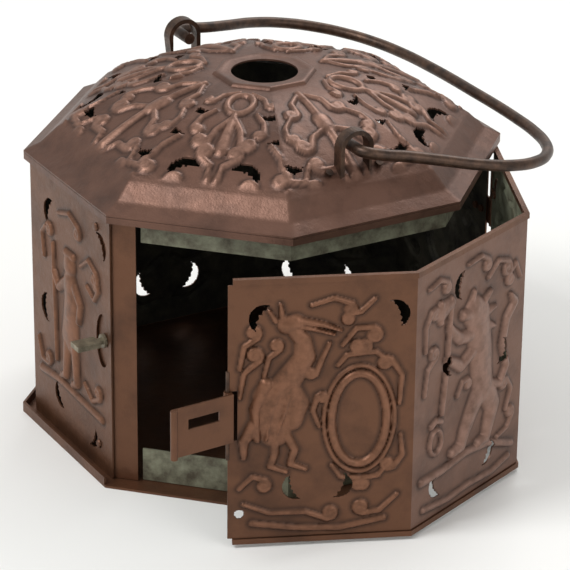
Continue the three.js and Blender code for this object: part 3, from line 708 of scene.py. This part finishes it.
def straight_strokes():
    half = (
        curl([(1, 52), (6, 60), (8, 68)], 3.6, -1, 1.6) + curl([(3, 30), (10, 34), (13, 40)], 2.6, -1)
        + curl([(2, 90), (3, 80), (9, 76)], 3.6, -1, 1.6) + curl([(34, 90), (24, 92), (20, 87)], 3.2, -1, 1.5)
        + curl([(22, 66), (28, 72), (34, 82)], 3.0, 1, 1.5) + curl([(10, 47), (15, 53), (17, 60)], 2.4, 1)
        + [stroke([(6, 92), (16, 94), (30, 94)], 1.5, 1.2, 1.3)]
    )
    return mirrored(half) + [ring(0, 40, 6.0, 8.0, 1.5, 1.6), stroke([(0, 50), (0, 72)], 1.6, 2.6, 1.6)]


def slant_strokes():
    half = (
        curl([(2, 34), (8, 40), (9, 48)], 3.4, -1, 1.6) + curl([(2, 60), (10, 64), (14, 70)], 3.8, -1, 1.7)
        + curl([(4, 90), (8, 82), (16, 82)], 3.4, -1, 1.6) + curl([(36, 88), (30, 93), (22, 92)], 3.2, 1, 1.5)
        + curl([(14, 50), (20, 56), (22, 62)], 2.8, 1, 1.4) + curl([(20, 78), (26, 86), (34, 84)], 2.6, -1)
    )
    stem = stroke([(0, 32), (0, 52), (0, 70), (0, 92)], 1.6, 2.4, 1.6)
    bud = stroke([(0, 54), (0, 60)], 3.6, 3.6, 1.9)
    return mirrored(half) + [stem, bud]


print("lid section points:", len(lid_section()))

# %% [markdown]
# Every point of the spun lid belongs to one of eight sectors. In its sector it has a place across and
# a place outwards, in millimetres, so the strokes and holes of one sector serve for all of the same
# kind: four face the sides of the room and four face its corners.

# %% The lid
ROUND_START, ROUND_RANGE = 19.0, 4.0
RELIEF_INNER, RELIEF_OUTER, RELIEF_FADE = 27.0, 97.0, 3.0


def both_hands(holes):
    return holes + [(-u, out, length, -turn) for u, out, length, turn in holes]


def spin_section():
    bm = bmesh.new()
    line = [bm.verts.new((radius, 0, height)) for radius, height in lid_section()]
    edges = [bm.edges.new(pair) for pair in zip(line, line[1:])]
    bmesh.ops.spin(
        bm, geom=line + edges, cent=(0, 0, 0), axis=(0, 0, 1), angle=2 * math.pi,
        steps=LID_STEPS, use_merge=True, use_duplicate=False,
    )
    bmesh.ops.remove_doubles(bm, verts=bm.verts, dist=0.001)
    bm.verts.index_update()
    return bm


def add_lid():
    bm = spin_section()
    points = np.array([vert.co[:] for vert in bm.verts])
    angle = np.degrees(np.arctan2(points[:, 1], points[:, 0]))
    radius = np.hypot(points[:, 0], points[:, 1])
    sector = np.round(angle / 45).astype(int)
    within = np.radians(angle - sector * 45)
    eight_sided = math.cos(SIDE_HALF_ANGLE) / np.cos(within)
    share = np.clip((radius - ROUND_START) / ROUND_RANGE, 0, 1)
    reach = radius * (share * eight_sided + (1 - share) * VENT_RADIUS / COLLAR_LINE[-1][0])
    flat = np.stack([reach * np.sin(within), reach * np.cos(within)], axis=1)
    height = np.zeros(len(points))
    foot = np.zeros(len(points))
    kinds = ((0, straight_strokes(), STRAIGHT_HOLES), (1, slant_strokes(), SLANT_HOLES))
    for parity, strokes, holes in kinds:
        mine = sector % 2 == parity
        part = flat[mine]
        onto_edges(part, both_hands(holes), CELL)
        flat[mine] = part
        height[mine], foot[mine] = relief_of(part[:, 0], part[:, 1], strokes)
    near = np.minimum(radius - RELIEF_INNER, RELIEF_OUTER - radius)
    fade = np.clip(near / RELIEF_FADE, 0, 1)
    store_relief(bm, height * fade, foot * fade)
    turn = np.radians(sector * 45)
    x = flat[:, 1] * np.cos(turn) - flat[:, 0] * np.sin(turn)
    y = flat[:, 1] * np.sin(turn) + flat[:, 0] * np.cos(turn)
    z = points[:, 2] + height * fade
    for vert in bm.verts:
        vert.co = Vector((x[vert.index], y[vert.index], z[vert.index])) * MILLIMETRE
    faces = list(bm.faces)
    corners = np.array([[vert.index for vert in face.verts] for face in faces])
    middles = flat[corners].mean(axis=1)
    sectors = sector[corners] % 8
    cut = np.zeros(len(faces), bool)
    for parity, _, holes in kinds:
        mine = (sectors == sectors[:, :1]).all(axis=1) & (sectors[:, 0] % 2 == parity)
        cut |= mine & (nearest_hole(middles[:, 0], middles[:, 1], both_hands(holes)) < 0)
    bmesh.ops.delete(bm, geom=[face for face, away in zip(faces, cut) if away], context="FACES")
    thicken(bm, Vector((0, 0, -LID_DROP * MILLIMETRE)))
    finish_mesh(bm, "lid_dome", lid_copper, inner_soot, "body", "lid")


add_lid()

# %% [markdown]
# The bail is one length of round wire, bent by hand. A smooth curve with a round section follows the
# same places as the solid, and it lies in the same slightly lowered plane.

# %% Bail
BAIL_WIRE = 2.75
BAIL_HEIGHT = 166.0
BAIL_DROOP = math.radians(11)
BAIL_MIDDLE = (0, 120.5)
BAIL_HALF = [
    (76, 0), (84, 0), (91, 1), (95, 8), (97, 20), (102, 36), (108, 54), (109, 72), (104, 88), (94, 101),
    (79, 111), (60, 117), (40, 119.5), (20, 120.5),
]


def bail_curve():
    places = [(-across, out) for across, out in BAIL_HALF] + [BAIL_MIDDLE] + BAIL_HALF[::-1]
    sideways = Vector((1, -1, 0)).normalized()
    outwards = Vector((1, 1, 0)).normalized()
    data = bpy.data.curves.new("bail_curve", "CURVE")
    data.dimensions = "3D"
    data.bevel_depth = BAIL_WIRE * MILLIMETRE
    data.bevel_resolution = 6
    data.use_fill_caps = True
    data.resolution_u = 8
    spline = data.splines.new("BEZIER")
    spline.bezier_points.add(len(places) - 1)
    for point, (across, out) in zip(spline.bezier_points, places):
        level = Vector((0, 0, BAIL_HEIGHT - out * math.sin(BAIL_DROOP)))
        point.co = (sideways * across + outwards * out * math.cos(BAIL_DROOP) + level) * MILLIMETRE
        point.handle_left_type = "AUTO"
        point.handle_right_type = "AUTO"
    curve = bpy.data.objects.new("bail_curve", data)
    bpy.context.scene.collection.objects.link(curve)
    return curve


def add_bail():
    curve = bail_curve()
    shaped = curve.evaluated_get(bpy.context.evaluated_depsgraph_get())
    mesh = bpy.data.meshes.new_from_object(shaped)
    bpy.data.objects.remove(curve)
    bm = bmesh.new()
    bm.from_mesh(mesh)
    bmesh.ops.remove_doubles(bm, verts=bm.verts, dist=0.01 * MILLIMETRE)
    bmesh.ops.recalc_face_normals(bm, faces=bm.faces)
    for face in bm.faces:
        face.smooth = True
        face.material_index = OUTER
    finish_mesh(bm, "bail_wire", dark_wire, dark_wire, "bail", "bail")
    bpy.data.meshes.remove(mesh)


add_bail()

# %% [markdown]
# The small solids are right as they are, and only take a finish, chosen by what each is made of. The
# strips behind the door are green where damp ash touched them. The jamb's face looks outwards and is
# handled with the latch, so it has stayed brown.

# %% Finishes for the solids that stay
SLOT_FINISH = {
    "copper": brown_copper, "lid_copper": lid_copper, "verdigris_copper": verdigris,
    "dark_wire": dark_wire, "pale_metal": pale_brass, "iron": sooty_iron,
}
OWN_FINISH = {"front_jamb": brown_copper}


def dress_solids():
    for entry in record["subparts"]:
        node = frame["nodes"][entry["node"]]
        node.data.materials.clear()
        usual = SLOT_FINISH[entry["material_slot"]]
        node.data.materials.append(OWN_FINISH.get(entry["node"], usual))
    return len(record["subparts"])


print("solids dressed:", dress_solids())

# %% [markdown]
# Last come a pale floor and soft light: a large lamp above and to the left, a weaker one opposite,
# one behind, and a pale world that fills the shadows.

# %% Floor and light
FLOOR_HALF = 6
LAMPS = {
    "key_lamp": ((-0.9, -0.9, 1.6), 0.7, 22),
    "fill_lamp": ((1.5, -0.9, 0.9), 1.0, 7),
    "back_lamp": ((0.2, 1.4, 1.5), 1.0, 14),
}
LAMP_AIM = Vector((0, 0, 0.08))
WORLD_STRENGTH = 0.65


def add_floor():
    bm = bmesh.new()
    bmesh.ops.create_grid(bm, x_segments=1, y_segments=1, size=FLOOR_HALF)
    mesh = bpy.data.meshes.new("floor")
    bm.to_mesh(mesh)
    bm.free()
    floor = bpy.data.objects.new("floor", mesh)
    bpy.context.scene.collection.objects.link(floor)
    material, tree, shader = new_material("pale_floor")
    shader.inputs["Base Color"].default_value = colour("#ececea")
    shader.inputs["Roughness"].default_value = 0.9
    mesh.materials.append(material)


def add_lamps():
    for name, (place, size, power) in LAMPS.items():
        data = bpy.data.lights.new(name, "AREA")
        data.size = size
        data.energy = power
        lamp = bpy.data.objects.new(name, data)
        bpy.context.scene.collection.objects.link(lamp)
        lamp.location = place
        lamp.rotation_euler = (LAMP_AIM - Vector(place)).to_track_quat("-Z", "Y").to_euler()


def set_world():
    world = bpy.data.worlds.new("studio")
    world.use_nodes = True
    background = world.node_tree.nodes["Background"]
    background.inputs["Color"].default_value = colour("#f4f4f2")
    background.inputs["Strength"].default_value = WORLD_STRENGTH
    bpy.context.scene.world = world


add_floor()
add_lamps()
set_world()
bpy.context.scene.view_settings.view_transform = "Standard"
print("lamps:", len(LAMPS))
